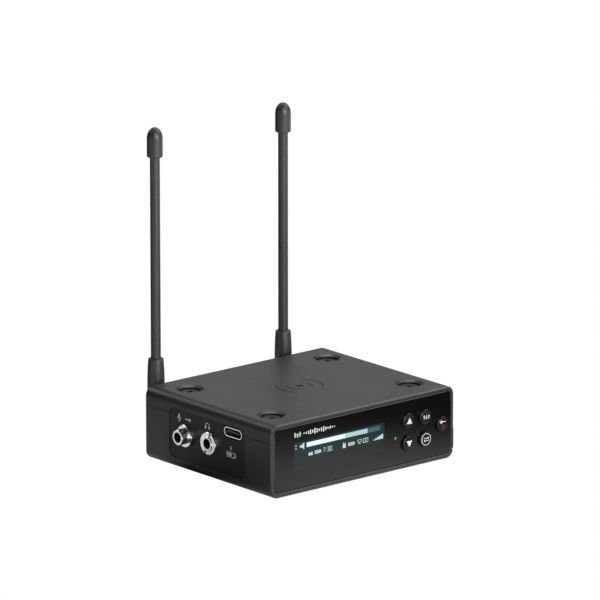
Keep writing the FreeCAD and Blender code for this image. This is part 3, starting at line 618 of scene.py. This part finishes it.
def cap_symbols():
    """Symbol sheets for the five caps, counted from each cap's middle."""
    up = Sheet().polygon([(-1.2, -0.95), (1.2, -0.95), (0, 1.1)])
    down = Sheet().polygon([(-1.2, 0.95), (0, -1.1), (1.2, 0.95)])
    chosen = Sheet()
    for x, knob in ((-1.0, 0.25), (0, -0.3), (1.0, 0.2)):
        chosen.box(x - 0.12, x + 0.12, -0.7, 0.7).box(x - 0.34, x + 0.34, knob - 0.17, knob + 0.17)
    back = Sheet().stroke([(-0.9, 0.85), (1.0, 0.85)], 0.32)
    back.polygon([(-0.7, 0.15), (-0.7, 1.55), (-1.6, 0.85)])
    pair = Sheet().ring(0, 0, 2.02, 1.8, steps=64)
    arrow(pair, -1.2, 0.4, 2.4, 0.6, 0.2)
    mirrored = Sheet()
    arrow(mirrored, -1.2, 0.4, 2.4, 0.6, 0.2)
    pair.outlines += [[Vector((-p.x, -p.y)) for p in o] for o in mirrored.outlines]
    return {"up": up, "down": down, "set": chosen, "escape": back, "sync": pair}


def power_symbol():
    """Open ring with a stroke, under the symbol of the escape cap."""
    return Sheet().ring(0, -0.85, 0.78, 0.56, 120, 420).box(-0.11, 0.11, -0.75, 0.1)


# ---------------------------------------------------------------- stage
def make_floor():
    """Pale floor: white to the camera, with bright and dim zones in what the object reflects."""
    mesh = bpy.data.meshes.new("floor")
    half = 5.0
    mesh.from_pydata([(-half, -half, 0), (half, -half, 0), (half, half, 0), (-half, half, 0)], [],
                     [(0, 1, 2, 3)])
    floor = bpy.data.objects.new("floor", mesh)
    bpy.context.scene.collection.objects.link(floor)
    material = bpy.data.materials.new("floor")
    material.use_nodes = True
    nodes, links = material.node_tree.nodes, material.node_tree.links
    nodes.clear()
    place = nodes.new("ShaderNodeTexCoord").outputs["Object"]

    def vector(operation, *direction):
        """Length of the place, or its distance along a direction."""
        made = nodes.new("ShaderNodeVectorMath")
        made.operation = operation
        links.new(place, made.inputs[0])
        if direction:
            made.inputs[1].default_value = direction
        return made.outputs["Value"]

    def faded(source, start, end, first, last):
        """Smooth step of a value from one level to another, between two distances in metres."""
        step = nodes.new("ShaderNodeMapRange")
        step.interpolation_type = "SMOOTHSTEP"
        for key, value in (("From Min", start), ("From Max", end), ("To Min", first), ("To Max", last)):
            step.inputs[key].default_value = value
        links.new(source, step.inputs["Value"])
        return step.outputs["Result"]

    def combined(operation, *sources):
        """Sum or product of two values."""
        made = nodes.new("ShaderNodeMath")
        made.operation = operation
        for socket, source in zip(made.inputs, sources):
            links.new(source, socket)
        return made.outputs["Value"]

    def mixed(factor, first, second):
        made = nodes.new("ShaderNodeMixShader")
        for socket, source in zip(made.inputs, (factor, first, second)):
            links.new(source, socket)
        return made.outputs[0]

    radius = vector("LENGTH")
    ahead = vector("DOT_PRODUCT", 0.64, -0.77, 0)      # towards the front right
    corner = vector("DOT_PRODUCT", -0.77, -0.64, 0)    # towards the front left
    rearward = vector("DOT_PRODUCT", 0, 1, 0)
    before_it = combined("MULTIPLY", faded(radius, 0.03, 0.108, 1.02, 0.01),
                         faded(ahead, -0.03, 0.02, 0.0, 1.0))
    beside_it = combined("MULTIPLY", faded(rearward, 0.01, 0.035, 0.04, 0.7),
                         faded(radius, 0.1, 0.15, 1.0, 0.05))
    beside_it = combined("MULTIPLY", beside_it, faded(ahead, -0.03, 0.02, 1.0, 0.0))
    far_ahead = combined("MULTIPLY", faded(radius, 0.16, 0.3, 0.0, 1.3),
                         faded(ahead, -0.1, 0.1, 0.0, 1.0))
    off_corner = combined("MULTIPLY", faded(corner, 0.06, 0.085, 0.0, 1.5),
                          faded(corner, 0.2, 0.3, 1.0, 0.0))
    zones = combined("ADD", combined("ADD", before_it, beside_it),
                     combined("ADD", far_ahead, off_corner))

    seen = nodes.new("ShaderNodeEmission")
    card = nodes.new("ShaderNodeEmission")
    links.new(zones, card.inputs["Strength"])
    to_camera = nodes.new("ShaderNodeLightPath").outputs["Is Camera Ray"]
    from_below = nodes.new("ShaderNodeNewGeometry").outputs["Backfacing"]
    clear = nodes.new("ShaderNodeBsdfTransparent")
    out = nodes.new("ShaderNodeOutputMaterial")
    above = mixed(to_camera, card.outputs[0], seen.outputs[0])
    links.new(mixed(from_below, above, clear.outputs[0]), out.inputs["Surface"])
    mesh.materials.append(material)


def direction(azimuth, elevation):
    """Unit vector away from the object. Azimuth 0 is in front of it and 90 on its right, in degrees."""
    a, e = math.radians(azimuth), math.radians(elevation)
    return Vector((math.sin(a) * math.cos(e), -math.cos(a) * math.cos(e), math.sin(e)))


def aim_at(thing, target, back, distance):
    """Put a light or camera at a distance from a target and turn it towards it."""
    thing.location = target + back * distance
    thing.rotation_mode = "QUATERNION"
    thing.rotation_quaternion = (-back).to_track_quat("-Z", "Y")
    bpy.context.scene.collection.objects.link(thing)


def softbox(name, azimuth, elevation, distance, width, height, power):
    """Area light aimed at the object, with its sizes and distance in metres and its power in watts."""
    data = bpy.data.lights.new(name, "AREA")
    data.shape = "RECTANGLE"
    data.size, data.size_y = width, height
    data.energy = power
    light = bpy.data.objects.new(name, data)
    light.visible_camera = False
    aim_at(light, Vector((0, 0, 0.04)), direction(azimuth, elevation), distance)


def make_world():
    """White to the camera, dark to everything else."""
    world = bpy.data.worlds.new("studio")
    bpy.context.scene.world = world
    world.use_nodes = True
    nodes, links = world.node_tree.nodes, world.node_tree.links
    back = nodes["Background"]
    back.inputs["Color"].default_value = grey(1.0)
    path = nodes.new("ShaderNodeLightPath")
    links.new(path.outputs["Is Camera Ray"], back.inputs["Strength"])


def make_camera():
    """Long lens, a little above the case, turned towards its left front edge."""
    data = bpy.data.cameras.new("camera")
    data.lens, data.sensor_width = 435.0, 36.0
    data.clip_start, data.clip_end = 0.05, 50
    camera = bpy.data.objects.new("camera", data)
    aim_at(camera, Vector((2.22, 2.42, 53.2)) * MM, direction(-40.34, 14.8), 2.36)
    bpy.context.scene.camera = camera


# ---------------------------------------------------------------- build
def paint_frame():
    """Materials of every CAD node."""
    oxide, steel, nickel, rubber = black_oxide(), plain_steel(), bright_nickel(), soft_rubber()
    plastic = moulded("inner_plastic", grey(0.03), grey(0.045))
    resist = moulded("board_resist", tint(0.008, 0.05, 0.025), tint(0.012, 0.08, 0.035))
    jacket = moulded("lead_jacket", tint(0.06, 0.03, 0.018), tint(0.08, 0.04, 0.024))
    by_material = {
        case_coat(): ["lower_housing", "top_cover", "battery_door", "stacking_discs"],
        panel_coat(): ["connector_panel"],
        window_gloss(): ["front_lens"],
        cap_satin(): [name + "_button" for name in ("up", "set", "escape", "down", "sync")],
        foot_rubber(): ["rubber_feet"],
        rubber: [],
        oxide: ["cover_screws"],
        steel: ["board_screws", "rf_shield", "battery_contacts", "door_hinge_pin"],
        nickel: ["mic_jack_barrel", "mic_jack_ring", "phones_jack_barrel", "phones_jack_nut", "usb_shell"],
        plastic: ["display_frame", "tact_switches", "mic_jack_body", "phones_jack_body", "usb_tongue",
                  "board_connector", "battery_tray", "display_panel"],
        resist: ["front_board", "main_board"],
        jacket: ["antenna_leads"],
        cell_sleeve(): ["battery_cells"],
        lamps(): ["light_pipes", "status_leds"],
    }
    for side in ("left", "right"):
        by_material[rubber] += [side + "_boot", side + "_rod", side + "_tip"]
        by_material[oxide] += [side + "_coupling_nut", side + "_knuckle"]
        by_material[nickel] += [side + "_antenna_socket", side + "_socket_nut"]
        by_material[steel] += [side + "_pivot_pin"]
    for material, names in by_material.items():
        for name in names:
            paint(name, material)


def add_display():
    """Everything that the display shows."""
    finish_piece(display_area(), "case", display_glow())
    bright, pale, rest = level_bar()
    lift = on_front(FILM)
    white = lit("segment_white", tint(0.80, 0.98, 0.98), 1.0)
    finish_piece(bright.solid("level_bright", lift), "case", white)
    finish_piece(pale.solid("level_pale", lift), "case",
                 lit("segment_pale", tint(0.40, 0.66, 0.66), 1.0))
    finish_piece(rest.solid("level_rest", lift), "case",
                 lit("segment_dim", tint(0.035, 0.09, 0.095), 1.0))
    finish_piece(display_symbols().solid("display_symbols", lift), "case",
                 lit("segment_symbols", tint(0.55, 0.70, 0.70), 1.0))


def add_prints():
    """Printed symbols on window, connector field and caps."""
    white = ink("ink_white", grey(0.5))
    red = ink("ink_red", tint(0.17, 0.004, 0.022))
    finish_piece(maker_field().solid("front_mark", on_front()), "case", white)
    finish_piece(panel_symbols().solid("panel_symbols", on_panel), "case", white)
    for name, sheet in cap_symbols().items():
        made = sheet.solid(name + "_symbol", on_cap(name + "_button"), cuts=3)
        finish_piece(made, name + "_cap", white)
    made = power_symbol().solid("power_symbol", on_cap("escape_button"), cuts=1)
    finish_piece(made, "escape_cap", red)


make_world()
make_floor()
make_camera()
softbox("rear_low", 140, 15, 1.3, 0.5, 0.4, 0.5)
softbox("rear_high", 140, 62, 1.2, 0.5, 0.5, 6)
softbox("front_low", 0, 12, 1.3, 0.4, 0.4, 14)
softbox("front_left", -24, 22, 1.4, 0.2, 0.9, 12)
softbox("top_rear", 194, 38, 1.2, 0.5, 0.5, 2.2)
softbox("top_right", 67, 48, 1.2, 0.8, 0.8, 10)
bpy.context.scene.view_settings.view_transform = "Standard"
paint_frame()
add_display()
add_prints()
